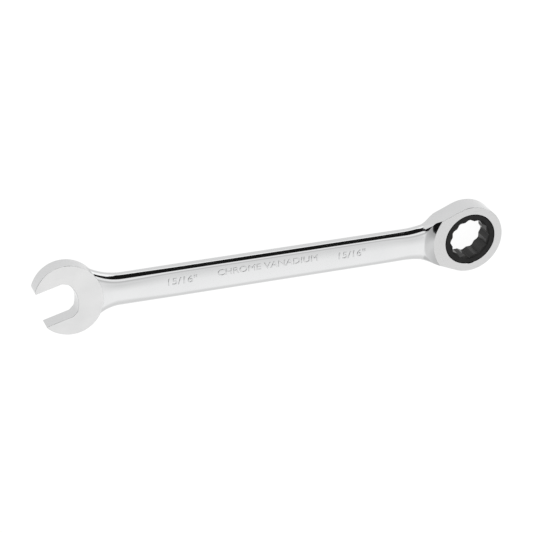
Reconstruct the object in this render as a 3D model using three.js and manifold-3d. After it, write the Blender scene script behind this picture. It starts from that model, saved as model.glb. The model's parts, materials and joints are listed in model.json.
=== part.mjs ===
// Ratcheting combination wrench, 15/16 in: an open jaw at one end and a ratcheting
// 12-point ring at the other, on one forged and chromed body.
//
// Millimetres, +Z up. The wrench lies flat, its front face up. Everything is drawn about
// the ring's axis, with z = 0 in the middle of the wrench's thickness and the jaw towards
// -X, and the finished group is moved so that the origin is at the middle of its base.
import * as THREE from 'three';
import { mergeVertices } from 'three/addons/utils/BufferGeometryUtils.js';
import Module from 'manifold-3d';

const wasm = await Module();
wasm.setup();

// ---------------------------------------------------------------- driving dimensions

const ACROSS_FLATS = 24.0; // the jaw and the socket, a running fit on a 15/16 in nut
const HEAD_SPACING = 269.0; // ring axis to the middle of the open head

// ring head
const RING_R = 22.8;
const RING_THICKNESS = 13.9;
const SHOULDER_R = 26.0; // the raised face ends on this arc, towards the shaft
const SHOULDER_FILLET = 7.7; // concave drop from the raised face to the shaft's face
const TAPER_ANGLE = THREE.MathUtils.degToRad(22.8); // ring head's sides, to the shaft
const TAPER_FILLET = 60.0;

// shaft
const SHAFT_WIDTH = 21.8;
const SHAFT_THICKNESS = 8.4;
const SHAFT_CORNER = 3.8;

// open head
const JAW_HEAD_ALONG = 21.5; // half axes of the oval outline
const JAW_HEAD_ACROSS = 24.15;
const JAW_HEAD_MIDDLE = [0.16, -0.34]; // of the outline, along and across the jaw
const JAW_HEAD_TURN = THREE.MathUtils.degToRad(9.5); // of the outline, beyond the jaw's angle
const JAW_HEAD_THICKNESS = 9.8;
const JAW_ANGLE = THREE.MathUtils.degToRad(15);
const JAW_TIP = 17.9; // the tips end this far out from the head's middle
const THROAT_DEPTH = 5.8; // the throat's deepest point, inwards from the head's middle
const THROAT_CHORD = 19.8;
const THROAT_SAGITTA = 2.8;
const FLAT_END = 0.5; // the flats stop this far out from the head's middle
const JAW_NECK_TOP_FILLET = 40.0;
const JAW_NECK_LOW_FILLET = 22.0;
const JAW_NECK_TOP_R = 22.2; // the head's radius where each fillet meets it
const JAW_NECK_LOW_R = 24.9;
const JAW_NECK_ROOT = [8.0, 16.0]; // corner of the shaft's hidden end, from the head's middle

// ratchet
const TOOTH_COUNT = 72;
const TOOTH_TIP_R = 19.3;
const TOOTH_DEPTH = 0.95;
const TOOTH_FLAT = THREE.MathUtils.degToRad(0.45); // half width of each tip and each root
const GEAR_TOP = 4.3; // top and bottom of the toothed band
const GEAR_BOTTOM = -4.5;
const COLLAR_R = 17.2; // the plain collar that shows inside the front lip
const BACK_HUB_R = 18.0;
const GEAR_INSET = 0.15; // the gear stands this far inside the ring's two faces
const SOCKET_PHASE = THREE.MathUtils.degToRad(3.2);
const SOCKET_CORNER = 0.35; // flat across each of the socket's points
const SOCKET_LEAD_IN = 0.9;
const CLEARANCE = 0.3;

// gear chamber, with its snap ring
const CHAMBER_R = TOOTH_TIP_R + CLEARANCE;
const CHAMBER_TOP = GEAR_TOP + CLEARANCE;
const GROOVE_R = 20.6;
const SNAP_RING_OUTER_R = GROOVE_R - CLEARANCE;
const SNAP_RING_INNER_R = BACK_HUB_R + CLEARANCE;
const SNAP_RING_THICKNESS = 1.0;
const SNAP_RING_TOP = GEAR_BOTTOM - CLEARANCE;
const SNAP_RING_GAP = THREE.MathUtils.degToRad(14); // half angle of the ring's opening
const SNAP_RING_EAR_R = 0.62; // half-round notches for the pliers
const SNAP_RING_GAP_AT = THREE.MathUtils.degToRad(-60);

// pawl and its pocket, cut into the ring head's root from inside the chamber
const POCKET_R = 13.0;
const POCKET_CENTRE_X = -11.5;
const POCKET_TOP = 3.8;
const POCKET_BOTTOM = -3.2;
const PAWL_R = 12.0;
const PAWL_CENTRE_X = -11.2;
const PAWL_HALF_WIDTH = 9.6;
const PAWL_TRAVEL = 1.0;
const SPRING_R = 1.5;
const SPRING_WIRE_R = 0.28;
const SPRING_TURNS = 6;
const SPRING_HOLE_R = 1.9;
const SPRING_HOLE_END = -29.6;
const PAWL_HOLE_END = -20.4;

const CHAMFER = 0.35;
const ROUND_STEPS = 72; // facets to a full turn of a large circle
const REACH = 60; // longer than anything that it cuts

// ---------------------------------------------------------------- solids and booleans

function toSolid(geometry) {
  const plain = geometry.index ? geometry.toNonIndexed() : geometry.clone();
  plain.deleteAttribute('normal');
  plain.deleteAttribute('uv');
  const merged = mergeVertices(plain, 1e-5);
  return new wasm.Manifold(new wasm.Mesh({
    numProp: 3,
    vertProperties: new Float32Array(merged.attributes.position.array),
    triVerts: new Uint32Array(merged.index.array),
  }));
}

function toMesh(name, solid, look) {
  const { vertProperties, triVerts } = solid.getMesh();
  const geometry = new THREE.BufferGeometry();
  geometry.setAttribute('position', new THREE.BufferAttribute(vertProperties, 3));
  geometry.setIndex(new THREE.BufferAttribute(triVerts, 1));
  geometry.computeVertexNormals();
  const mesh = new THREE.Mesh(geometry, new THREE.MeshStandardMaterial(look));
  mesh.name = name;
  return mesh;
}

// An outline stood between two heights, its edges chamfered or rounded by `edge`.
function slab(outline, bottom, top, edge = 0, edgeSteps = 1, curveSteps = 16) {
  const geometry = new THREE.ExtrudeGeometry(outline, {
    depth: top - bottom - 2 * edge,
    bevelEnabled: edge > 0,
    bevelThickness: edge,
    bevelSize: edge,
    bevelOffset: -edge,
    bevelSegments: edgeSteps,
    curveSegments: curveSteps,
  });
  geometry.translate(0, 0, bottom + edge);
  return toSolid(geometry);
}

// A closed [radius, height] profile turned about the ring's axis.
function turned(profile, steps = ROUND_STEPS) {
  const closed = [...profile, profile[0]].map(([r, z]) => new THREE.Vector2(r, z));
  const geometry = new THREE.LatheGeometry(closed, steps);
  geometry.rotateX(Math.PI / 2);
  return toSolid(geometry);
}

function rodAlongX(radius, fromX, toX, z, steps = 20) {
  const geometry = new THREE.CylinderGeometry(radius, radius, Math.abs(toX - fromX), steps);
  geometry.rotateZ(Math.PI / 2);
  geometry.translate((fromX + toX) / 2, 0, z);
  return toSolid(geometry);
}

const polar = (r, angle) => [r * Math.cos(angle), r * Math.sin(angle)];

function polygon(points) {
  return new THREE.Shape(points.map(([x, y]) => new THREE.Vector2(x, y)));
}

// ---------------------------------------------------------------- body

const HALF_WIDTH = SHAFT_WIDTH / 2;
const HALF_SHAFT = SHAFT_THICKNESS / 2;
const HALF_RING = RING_THICKNESS / 2;
const HALF_JAW_HEAD = JAW_HEAD_THICKNESS / 2;

// Centre of the concave fillet between the ring head's straight taper and the shaft's edge.
const taperFilletY = HALF_WIDTH + TAPER_FILLET;
const taperFilletX = (taperFilletY * Math.cos(TAPER_ANGLE) - RING_R - TAPER_FILLET)
  / Math.sin(TAPER_ANGLE);

// The ring head's outline with both tapers, ending square across the shaft.
function ringHeadOutline(endX) {
  const fromTaper = Math.PI / 2 + TAPER_ANGLE; // where the round part meets each taper
  const shape = new THREE.Shape();
  shape.moveTo(endX, -HALF_WIDTH);
  shape.absarc(taperFilletX, -taperFilletY, TAPER_FILLET, Math.PI / 2, Math.PI / 2 - TAPER_ANGLE, true);
  shape.absarc(0, 0, RING_R, -fromTaper, fromTaper, false);
  shape.absarc(taperFilletX, taperFilletY, TAPER_FILLET, TAPER_ANGLE - Math.PI / 2, -Math.PI / 2, true);
  shape.lineTo(endX, HALF_WIDTH);
  return shape;
}

// Centre and angle of a fillet that rolls from the shaft's edge onto the open head.
function jawNeck(headR, filletR) {
  const y = HALF_WIDTH + filletR;
  const away = Math.sqrt((headR + filletR) ** 2 - y ** 2);
  return { x: away - HEAD_SPACING, y, meets: Math.atan2(y, away) };
}

function shaftSolid() {
  const top = jawNeck(JAW_NECK_TOP_R, JAW_NECK_TOP_FILLET);
  const low = jawNeck(JAW_NECK_LOW_R, JAW_NECK_LOW_FILLET);
  const [lowX, lowY] = polar(JAW_NECK_LOW_R, -low.meets);
  const taper = Math.PI / 2 - TAPER_ANGLE;
  const rootX = JAW_NECK_ROOT[0] - HEAD_SPACING;
  const rootY = JAW_NECK_ROOT[1];
  const shape = new THREE.Shape();
  shape.moveTo(rootX, rootY);
  shape.lineTo(rootX, -rootY);
  shape.lineTo(lowX - HEAD_SPACING, lowY);
  shape.absarc(low.x, -low.y, JAW_NECK_LOW_FILLET, Math.PI - low.meets, Math.PI / 2, true);
  shape.absarc(taperFilletX, -taperFilletY, TAPER_FILLET, Math.PI / 2, taper, true);
  shape.lineTo(...polar(RING_R, -taper - 2 * TAPER_ANGLE));
  shape.lineTo(...polar(RING_R, taper + 2 * TAPER_ANGLE));
  shape.absarc(taperFilletX, taperFilletY, TAPER_FILLET, -taper, -Math.PI / 2, true);
  shape.absarc(top.x, top.y, JAW_NECK_TOP_FILLET, -Math.PI / 2, top.meets - Math.PI, true);
  return slab(shape, -HALF_SHAFT, HALF_SHAFT, SHAFT_CORNER, 3, 9);
}

// The full thickness of the ring head, sunk to the shaft's faces beyond the shoulder.
function shoulderSolid() {
  const drop = HALF_RING - HALF_SHAFT;
  const sweep = Math.acos(1 - drop / SHOULDER_FILLET);
  const endR = SHOULDER_R + SHOULDER_FILLET * Math.sin(sweep);
  const front = [];
  const steps = 4;
  for (let i = 0; i <= steps; i += 1) {
    const angle = sweep * i / steps;
    front.push([
      endR - SHOULDER_FILLET * Math.sin(angle),
      HALF_SHAFT + SHOULDER_FILLET * (1 - Math.cos(angle)),
    ]);
  }
  const back = front.map(([r, z]) => [r, -z]).reverse();
  return turned([[0, -HALF_RING], ...back, ...front, [0, HALF_RING]]);
}

function jawHeadSolid() {
  const outline = new THREE.Shape();
  outline.absellipse(
    ...JAW_HEAD_MIDDLE, JAW_HEAD_ALONG, JAW_HEAD_ACROSS, 0, 2 * Math.PI, false, JAW_HEAD_TURN);
  const disc = slab(outline, -HALF_JAW_HEAD, HALF_JAW_HEAD, CHAMFER, 1, ROUND_STEPS);

  // The mouth, opening towards -X: flats, a chamfer each side, and an arc across the throat.
  const half = ACROSS_FLATS / 2;
  const throatEdge = THROAT_CHORD / 2;
  const throatX = THROAT_DEPTH - THROAT_SAGITTA;
  const throatR = (throatEdge ** 2 + THROAT_SAGITTA ** 2) / (2 * THROAT_SAGITTA);
  const throatSweep = Math.asin(throatEdge / throatR);
  const mouth = new THREE.Shape();
  mouth.moveTo(-REACH, -half);
  mouth.lineTo(-FLAT_END, -half);
  mouth.lineTo(throatX, -throatEdge);
  mouth.absarc(THROAT_DEPTH - throatR, 0, throatR, -throatSweep, throatSweep, false);
  mouth.lineTo(-FLAT_END, half);
  mouth.lineTo(-REACH, half);
  const beyondTips = polygon([
    [-REACH, -REACH], [-JAW_TIP, -REACH], [-JAW_TIP, REACH], [-REACH, REACH],
  ]);
  return disc
    .subtract(slab(mouth, -REACH, REACH))
    .subtract(slab(beyondTips, -REACH, REACH))
    .rotate([0, 0, THREE.MathUtils.radToDeg(JAW_ANGLE)])
    .translate([-HEAD_SPACING, 0, 0]);
}

// Stepped bore for the gear: front lip, chamber open at the back, and snap ring groove.
function chamberSolid() {
  const lipR = COLLAR_R + CLEARANCE;
  const grooveTop = SNAP_RING_TOP + CLEARANCE / 2;
  const grooveBottom = SNAP_RING_TOP - SNAP_RING_THICKNESS - CLEARANCE / 2;
  return turned([
    [0, -REACH],
    [CHAMBER_R, -REACH],
    [CHAMBER_R, grooveBottom],
    [GROOVE_R, grooveBottom],
    [GROOVE_R, grooveTop],
    [CHAMBER_R, grooveTop],
    [CHAMBER_R, CHAMBER_TOP],
    [lipR, CHAMBER_TOP],
    [lipR, HALF_RING - CHAMFER],
    [lipR + CHAMFER, HALF_RING],
    [lipR + CHAMFER, REACH],
    [0, REACH],
  ]);
}

const POCKET_MIDDLE = (POCKET_TOP + POCKET_BOTTOM) / 2;

function pocketSolid() {
  const circle = new THREE.Shape();
  circle.absarc(POCKET_CENTRE_X, 0, POCKET_R, 0, 2 * Math.PI, false);
  const springHole = rodAlongX(SPRING_HOLE_R, POCKET_CENTRE_X, SPRING_HOLE_END, POCKET_MIDDLE);
  return slab(circle, POCKET_BOTTOM, POCKET_TOP, 0, 1, 48).add(springHole);
}

function wrenchBody() {
  const ringHead = slab(ringHeadOutline(-REACH), -HALF_RING, HALF_RING, CHAMFER, 1, 40)
    .intersect(shoulderSolid());
  return shaftSolid()
    .add(ringHead)
    .add(jawHeadSolid())
    .subtract(chamberSolid())
    .subtract(pocketSolid());
}

// ---------------------------------------------------------------- ratchet

const PITCH = 2 * Math.PI / TOOTH_COUNT;

// Points of `count` teeth from `first` on: each goes root, root, tip, tip.
function toothRow(first, count, rootR, tipR, phase) {
  const points = [];
  for (let i = 0; i < count; i += 1) {
    const middle = (first + i) * PITCH + phase;
    const flank = PITCH / 2 - TOOTH_FLAT;
    points.push(polar(rootR, middle - flank));
    points.push(polar(tipR, middle - TOOTH_FLAT));
    points.push(polar(tipR, middle + TOOTH_FLAT));
    points.push(polar(rootR, middle + flank));
  }
  return points;
}

// Two hexagons turned 30 degrees to each other, with a narrow flat across each point.
function socketOutline() {
  const points = [];
  const cornerR = ACROSS_FLATS / 2 / Math.cos(Math.PI / 6);
  const notchR = ACROSS_FLATS / 2 / Math.cos(Math.PI / 12);
  for (let i = 0; i < 12; i += 1) {
    const middle = SOCKET_PHASE + i * Math.PI / 6;
    const y = SOCKET_CORNER / 2;
    const x = cornerR - y * Math.tan(Math.PI / 6);
    for (const side of [-y, y]) {
      points.push([
        x * Math.cos(middle) - side * Math.sin(middle),
        x * Math.sin(middle) + side * Math.cos(middle),
      ]);
    }
    points.push(polar(notchR, middle + Math.PI / 12));
  }
  return points;
}

function ratchetGear() {
  const rootR = TOOTH_TIP_R - TOOTH_DEPTH;
  const face = HALF_RING - GEAR_INSET;
  const teeth = slab(
    polygon(toothRow(0, TOOTH_COUNT, rootR, TOOTH_TIP_R, 0)), GEAR_BOTTOM, GEAR_TOP);
  const hub = turned([
    [0, -face],
    [BACK_HUB_R - CHAMFER, -face],
    [BACK_HUB_R, -face + CHAMFER],
    [BACK_HUB_R, GEAR_BOTTOM + 1],
    [COLLAR_R, GEAR_BOTTOM + 1],
    [COLLAR_R, face - CHAMFER],
    [COLLAR_R - CHAMFER, face],
    [0, face],
  ]);
  const cornerR = ACROSS_FLATS / 2 / Math.cos(Math.PI / 6);
  const leadInR = cornerR + CHAMFER;
  const leadIn = turned([
    [0, face - SOCKET_LEAD_IN],
    [leadInR - SOCKET_LEAD_IN, face - SOCKET_LEAD_IN],
    [leadInR, face],
    [leadInR, face + 1],
    [0, face + 1],
  ], 48);
  return teeth
    .add(hub)
    .subtract(slab(polygon(socketOutline()), -REACH, REACH))
    .subtract(leadIn)
    .subtract(leadIn.mirror([0, 0, 1]));
}

// Crescent with a row of teeth on its inner side and a blind hole for the spring.
function pawl() {
  const teethEachSide = 5;
  const rootR = TOOTH_TIP_R + CLEARANCE;
  const tipR = rootR - TOOTH_DEPTH;
  const row = toothRow(
    -teethEachSide, 2 * teethEachSide, rootR, tipR, Math.PI + PITCH / 2);
  const endX = row[0][0];
  const back = new THREE.Shape();
  back.absarc(PAWL_CENTRE_X, 0, PAWL_R, 0, 2 * Math.PI, false);
  const teethAndBack = polygon([...row, [endX, -PAWL_HALF_WIDTH], [-REACH, -PAWL_HALF_WIDTH],
    [-REACH, PAWL_HALF_WIDTH], [endX, PAWL_HALF_WIDTH]]);
  const bottom = POCKET_BOTTOM + CLEARANCE;
  const top = POCKET_TOP - CLEARANCE;
  return slab(teethAndBack, bottom, top)
    .intersect(slab(back, bottom, top, CHAMFER, 1, 48))
    .subtract(rodAlongX(SPRING_HOLE_R, -REACH, PAWL_HOLE_END, POCKET_MIDDLE));
}

// Flat-ended helix between the bottoms of its two blind holes.
class Helix extends THREE.Curve {
  constructor(fromX, toX, radius, turns) {
    super();
    Object.assign(this, { fromX, toX, radius, turns });
  }

  getPoint(t, target = new THREE.Vector3()) {
    const angle = 2 * Math.PI * this.turns * t;
    const x = this.fromX + (this.toX - this.fromX) * t;
    return target.set(
      x, this.radius * Math.cos(angle), POCKET_MIDDLE + this.radius * Math.sin(angle));
  }
}

function pawlSpring() {
  const wire = new THREE.Shape();
  wire.absarc(0, 0, SPRING_WIRE_R, 0, 2 * Math.PI, false);
  const clear = SPRING_WIRE_R + CLEARANCE;
  const path = new Helix(
    PAWL_HOLE_END - PAWL_TRAVEL - clear, SPRING_HOLE_END + clear, SPRING_R, SPRING_TURNS);
  return toSolid(new THREE.ExtrudeGeometry(wire, {
    steps: SPRING_TURNS * 10,
    extrudePath: path,
    curveSegments: 3,
    bevelEnabled: false,
  }));
}

// Open ring with two half-round notches, one at each side of its gap.
function snapRing() {
  const from = SNAP_RING_GAP_AT + SNAP_RING_GAP;
  const to = SNAP_RING_GAP_AT - SNAP_RING_GAP + 2 * Math.PI;
  const shape = new THREE.Shape();
  shape.absarc(0, 0, SNAP_RING_OUTER_R, from, to, false);
  shape.absarc(0, 0, SNAP_RING_INNER_R, to, from, true);
  shape.closePath();
  const bottom = SNAP_RING_TOP - SNAP_RING_THICKNESS;
  let ring = slab(shape, bottom, SNAP_RING_TOP, 0, 1, ROUND_STEPS / 2);
  for (const angle of [from, to]) {
    const notch = new THREE.Shape();
    notch.absarc(...polar(SNAP_RING_INNER_R, angle), SNAP_RING_EAR_R, 0, 2 * Math.PI, false);
    ring = ring.subtract(slab(notch, bottom - 1, SNAP_RING_TOP + 1, 0, 1, 8));
  }
  return ring;
}

// ---------------------------------------------------------------- the object

const CHROME = { color: 0xdcdddf, roughness: 0.12, metalness: 1 };
const BLACKED_STEEL = { color: 0x2b2b2d, roughness: 0.45, metalness: 0.9 };
const GROUND_STEEL = { color: 0x8d8f92, roughness: 0.35, metalness: 1 };
const SPRING_STEEL = { color: 0x9a9ca0, roughness: 0.25, metalness: 1 };

const wrench = new THREE.Group();
wrench.add(
  toMesh('wrench_body', wrenchBody(), CHROME),
  toMesh('ratchet_gear', ratchetGear(), BLACKED_STEEL),
  toMesh('pawl', pawl(), GROUND_STEEL),
  toMesh('pawl_spring', pawlSpring(), SPRING_STEEL),
  toMesh('snap_ring', snapRing(), BLACKED_STEEL),
);

const extent = new THREE.Box3().setFromObject(wrench);
const middle = extent.getCenter(new THREE.Vector3());
wrench.position.set(-middle.x, -middle.y, -extent.min.z);

export default wrench;
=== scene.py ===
"""Ratcheting combination wrench: the visible surfaces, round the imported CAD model.

The wrench is drawn in millimetres about the ring's axis, with z = 0 in the middle of its
thickness and the jaw towards -X, as it was designed. `place` turns that into the row frame.
"""
import json
import math

import bmesh
import bpy
from mathutils import Matrix, Vector
from mathutils.bvhtree import BVHTree
from mathutils.interpolate import poly_3d_calc


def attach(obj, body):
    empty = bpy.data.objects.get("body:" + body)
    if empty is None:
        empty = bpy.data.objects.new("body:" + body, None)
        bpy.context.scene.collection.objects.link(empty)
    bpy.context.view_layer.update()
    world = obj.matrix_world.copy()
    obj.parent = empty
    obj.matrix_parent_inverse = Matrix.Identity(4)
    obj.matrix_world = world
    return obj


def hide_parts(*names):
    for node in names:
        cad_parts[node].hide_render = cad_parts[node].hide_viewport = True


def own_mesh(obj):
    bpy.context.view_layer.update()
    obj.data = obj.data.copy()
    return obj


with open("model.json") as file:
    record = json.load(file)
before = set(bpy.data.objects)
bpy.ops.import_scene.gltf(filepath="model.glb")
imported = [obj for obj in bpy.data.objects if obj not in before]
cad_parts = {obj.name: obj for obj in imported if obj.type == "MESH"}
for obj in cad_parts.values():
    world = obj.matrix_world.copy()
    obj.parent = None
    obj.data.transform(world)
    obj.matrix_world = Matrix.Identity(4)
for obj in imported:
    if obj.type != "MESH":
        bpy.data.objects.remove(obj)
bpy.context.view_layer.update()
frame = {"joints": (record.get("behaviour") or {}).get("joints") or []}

MM = 0.001
JOINTS = {joint["name"]: joint for joint in frame["joints"]}
RING_CENTRE = Vector(JOINTS["gear_spin"]["pos_m"])

# ---------------------------------------------------------------- sizes, in millimetres

HALF_FLATS = 12.0
HEAD_SPACING = 269.0

RING_R = 22.8
HALF_RING = 6.95
SHOULDER_R = 26.0
SHOULDER_FOOT_R = 33.8  # the concave drop from the raised face ends on this arc
NECK_CORNER_FROM = -31.3  # the shaft's rounded corners fade out from here
NECK_CORNER_TO = -20.8  # to here, up the sides of the ring head
NECK_CORNER_LEAST = 0.03  # share of the corner that is left there
NECK_CUT_FROM = -35.5  # the cutters for those corners start inside the shaft
NECK_INSET = 0.05  # the ring head's neck draws in by this, to end inside the shaft
NECK_INSET_RUN = (-30.0, -33.0)
TAPER_ANGLE = math.radians(22.8)
TAPER_FILLET = 60.0

HALF_WIDTH = 10.9
HALF_SHAFT = 4.2
SHAFT_CORNER = 3.8  # height of the rounded corners
SHAFT_CORNER_REACH = 4.4  # how far in they start
SHAFT_CORNER_FLARE = 1.6  # and how much further in beside the heads
SHAFT_CROWN = 0.25
SHAFT_SIDE = 0.05  # least half height of the flat between the rounded corners
FLARE_BY_JAW = (-195.0, -240.0)  # stretches over which the corners flare
FLARE_BY_RING = (-62.0, -32.0)
SHAFT_INSET = 0.3  # the shaft draws in by this inside the ring head

JAW_ANGLE = math.radians(15)
JAW_ALONG = 21.5
JAW_ACROSS = 24.15
JAW_CENTRE = (0.16, -0.34)  # of the head's outline, along and across the jaw
JAW_TURN = math.radians(9.5)  # of the head's outline, beyond the jaw's own angle
HALF_JAW = 4.9
JAW_TIP = 17.9
THROAT_DEPTH = 5.8
THROAT_SAGITTA = 2.8
HALF_THROAT = 9.9
FLAT_END = 0.5
JAW_NECK_TOP = (22.2, 40.0)  # the head's radius there, and the fillet's
JAW_NECK_LOW = (24.9, 22.0)
SHAFT_START = 10.0 - HEAD_SPACING  # inside the open head
SHAFT_MIDDLE = -100.0  # the edges follow the open head short of this, the ring past it
SHAFT_END = -18.5  # inside the ring head
PLAIN_FROM = -236.0  # the shaft's section stays the same from here
PLAIN_TO = -45.0
STATION_STEP = 0.5  # between sections beside the heads
STATION_EXTRA = 6.0  # at most, on the plain stretch
STATION_EASE = 3.0  # distance into the plain stretch for each extra millimetre
JAW_DIP = 0.2  # the shaft is this much thinner beside the open head
JAW_DIP_RUN = 8.0

EDGE = 0.45  # rounding of the ring head's edges
JAW_EDGE = 0.3
FINE_EDGE = 0.08  # of the small ground and stamped pieces
OUTLINE_STEP = 0.4
SHOULDER_STEPS = 10
SLIVER = 0.02  # keeps two surfaces from falling exactly together
BEYOND = 9.0  # height that cutters reach to, clear of both faces
END_MARGIN = 20.0  # how far a cutter reaches past the end of what it cuts
SIDE_MARGIN = 2.0
SMOOTH_COS = math.cos(math.radians(28))  # sharper bends than this stay creased

LIP_R = 17.5
CHAMBER_R = 19.6
CHAMBER_TOP = 4.6
GROOVE_R = 20.6
GROOVE_TOP = -4.65
GROOVE_BOTTOM = -5.95
BORE_CHAMFER = 0.18
POCKET_R = 13.0
POCKET_X = -11.5
POCKET_TOP = 3.8
POCKET_BOTTOM = -3.2
POCKET_MIDDLE = (POCKET_TOP + POCKET_BOTTOM) / 2
SPRING_HOLE_R = 1.9
SPRING_HOLE_END = -29.6

FULL_TURN = 2 * math.pi
WELD = 2e-6  # points closer than this are one point, in metres


def place(point):
    """A point of the wrench's own drawing, in millimetres, to the row frame, in metres."""
    return Vector(point) * MM + RING_CENTRE


def blend(low, high, value):
    """0 at low or short of it, 1 at high or past it, and smooth between; low may be the larger."""
    t = min(1.0, max(0.0, (value - low) / (high - low)))
    return t * t * (3 - 2 * t)


# ---------------------------------------------------------------- meshes with exact normals

class Skin:
    """Faces with a stated normal at each corner, welded into one mesh."""

    def __init__(self):
        self.bm = bmesh.new()
        self.normals = self.bm.loops.layers.float_vector.new("corner_normal")

    def face(self, points, normals):
        verts = [self.bm.verts.new(place(p)) for p in points]
        made = self.bm.faces.new(verts)
        made.smooth = True
        for loop, normal in zip(made.loops, normals):
            loop[self.normals] = Vector(normal).normalized()

    def flat(self, points):
        """A face whose corners all take the face's own normal."""
        a, b, c = (Vector(p) for p in points[:3])
        self.face(points, [(b - a).cross(c - b)] * len(points))

    def to_object(self, name):
        bmesh.ops.remove_doubles(self.bm, verts=self.bm.verts, dist=WELD)
        bmesh.ops.triangulate(
            self.bm, faces=[f for f in self.bm.faces if len(f.verts) > 4])
        mesh = bpy.data.meshes.new(name)
        self.bm.to_mesh(mesh)
        self.bm.free()
        stated = [tuple(item.vector) for item in mesh.attributes["corner_normal"].data]
        mesh.attributes.remove(mesh.attributes["corner_normal"])
        mesh.normals_split_custom_set(stated)
        piece = bpy.data.objects.new(name, mesh)
        bpy.context.scene.collection.objects.link(piece)
        return piece


def side_normals(outline):
    """Outward normals at the two ends of each side: shared with the next unless it's a corner."""
    count = len(outline)
    own = []
    for i, (x, y) in enumerate(outline):
        after = outline[(i + 1) % count]
        own.append(Vector((after[1] - y, x - after[0])).normalized())

    def shared(i, other):
        both = own[i % count], own[other % count]
        return (both[0] + both[1]).normalized() if both[0].dot(both[1]) > SMOOTH_COS else both[0]

    return [(shared(i, i - 1), shared(i, i + 1)) for i in range(count)]


def slab(name, outline, bottom, top, edge=0.0, steps=4):
    """A closed outline, anticlockwise, stood between two heights with rounded edges."""
    skin = Skin()
    count = len(outline)
    sides = side_normals(outline)
    inward = [-(sides[i - 1][1] + sides[i][0]).normalized() for i in range(count)]
    profile = [(0, 0, 1, 0)]  # inset, height, outward share and upward share of the normal
    if edge:
        profile = [
            (edge * (1 - math.sin(a)), edge * (1 - math.cos(a)), math.sin(a), -math.cos(a))
            for a in (math.pi / 2 * i / steps for i in range(steps + 1))
        ]
    rings = [(d, bottom + h, o, u) for d, h, o, u in profile]
    rings += [(d, top - h, o, -u) for d, h, o, u in reversed(profile)]

    def at(i, ring):
        p, n = outline[i % count], inward[i % count]
        return (p[0] + n.x * ring[0], p[1] + n.y * ring[0], ring[1])

    for low, high in zip(rings, rings[1:]):
        for i, (n0, n1) in enumerate(sides):
            skin.face(
                [at(i, low), at(i + 1, low), at(i + 1, high), at(i, high)],
                [(n.x * ring[2], n.y * ring[2], ring[3])
                 for n, ring in ((n0, low), (n1, low), (n1, high), (n0, high))],
            )
    skin.face([at(i, rings[-1]) for i in range(count)], [(0, 0, 1)] * count)
    skin.face([at(i, rings[0]) for i in reversed(range(count))], [(0, 0, -1)] * count)
    return skin.to_object(name)


def turned(name, profile, steps=144):
    """A closed [radius, height] profile, anticlockwise, turned about the ring's axis."""
    skin = Skin()
    count = len(profile)
    for i, (n0, n1) in enumerate(side_normals(profile)):
        (r0, z0), (r1, z1) = profile[i], profile[(i + 1) % count]
        if r0 == 0 and r1 == 0:
            continue
        for k in range(steps):
            a0, a1 = FULL_TURN * k / steps, FULL_TURN * (k + 1) / steps
            corners = [(r0, z0, a0, n0), (r0, z0, a1, n0), (r1, z1, a1, n1), (r1, z1, a0, n1)]
            if r0 == 0:
                corners = corners[1:]
            elif r1 == 0:
                corners = corners[:3]
            skin.face(
                [(r * math.cos(a), r * math.sin(a), z) for r, z, a, _ in corners],
                [(n.x * math.cos(a), n.x * math.sin(a), n.y) for _, _, a, n in corners],
            )
    return skin.to_object(name)


# ---------------------------------------------------------------- joining and cutting

def combine(piece, other, operation):
    """Boolean of two closed meshes. Each face keeps the material, and so the source, it had."""
    modifier = piece.modifiers.new("combine", "BOOLEAN")
    modifier.object = other
    modifier.operation = operation
    modifier.solver = "EXACT"
    modifier.material_mode = "TRANSFER"
    evaluated = piece.evaluated_get(bpy.context.evaluated_depsgraph_get())
    mesh = bpy.data.meshes.new_from_object(evaluated)
    piece.modifiers.clear()
    piece.data = mesh
    return piece


def tag(piece):
    """Gives a source solid a material of its own, so that its faces are known later."""
    piece.data.materials.append(bpy.data.materials.new("from_" + piece.name))
    return piece


def source_of(piece):
    """What `restore_normals` needs of a source solid: its surface and its corner normals."""
    mesh = piece.data
    points = [v.co.copy() for v in mesh.vertices]
    faces = [tuple(p.vertices) for p in mesh.polygons]
    starts = [p.loop_start for p in mesh.polygons]
    normals = [Vector(n.vector) for n in mesh.corner_normals]
    return BVHTree.FromPolygons(points, faces), points, faces, starts, normals


def restore_normals(piece, sources, cutters):
    """Gives each face the smooth normals of the solid that it came from."""
    mesh = piece.data
    slots = [slot.name for slot in mesh.materials]
    stated = [Vector(n.vector) for n in mesh.corner_normals]
    nudge = 0.03
    for polygon in mesh.polygons:
        name = slots[polygon.material_index]
        tree, points, faces, starts, normals = sources[name]
        flip = -1 if name in cutters else 1
        for loop in polygon.loop_indices:
            at = mesh.vertices[mesh.loops[loop].vertex_index].co
            at = at.lerp(polygon.center, nudge)
            near, _, index, _ = tree.find_nearest(at)
            corners = [points[v] for v in faces[index]]
            weights = poly_3d_calc(corners, near)
            normal = sum(
                (normals[starts[index] + i] * w for i, w in enumerate(weights)), Vector())
            if normal.length > 0.5:
                stated[loop] = flip * normal.normalized()
    for polygon in mesh.polygons:
        polygon.use_smooth = True
        polygon.material_index = 0
    mesh.materials.clear()
    mesh.normals_split_custom_set(stated)


# ---------------------------------------------------------------- outlines

def arc(centre, radius, start, end):
    """Points along an arc from one angle to another, about OUTLINE_STEP apart."""
    count = max(2, math.ceil(abs(end - start) * radius / OUTLINE_STEP))
    return [
        (centre[0] + radius * math.cos(a), centre[1] + radius * math.sin(a))
        for a in (start + (end - start) * i / count for i in range(count + 1))
    ]


def line(start, end):
    count = max(1, math.ceil(math.dist(start, end) / OUTLINE_STEP))
    return [
        tuple(s + (e - s) * i / count for s, e in zip(start, end)) for i in range(count + 1)
    ]


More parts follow.
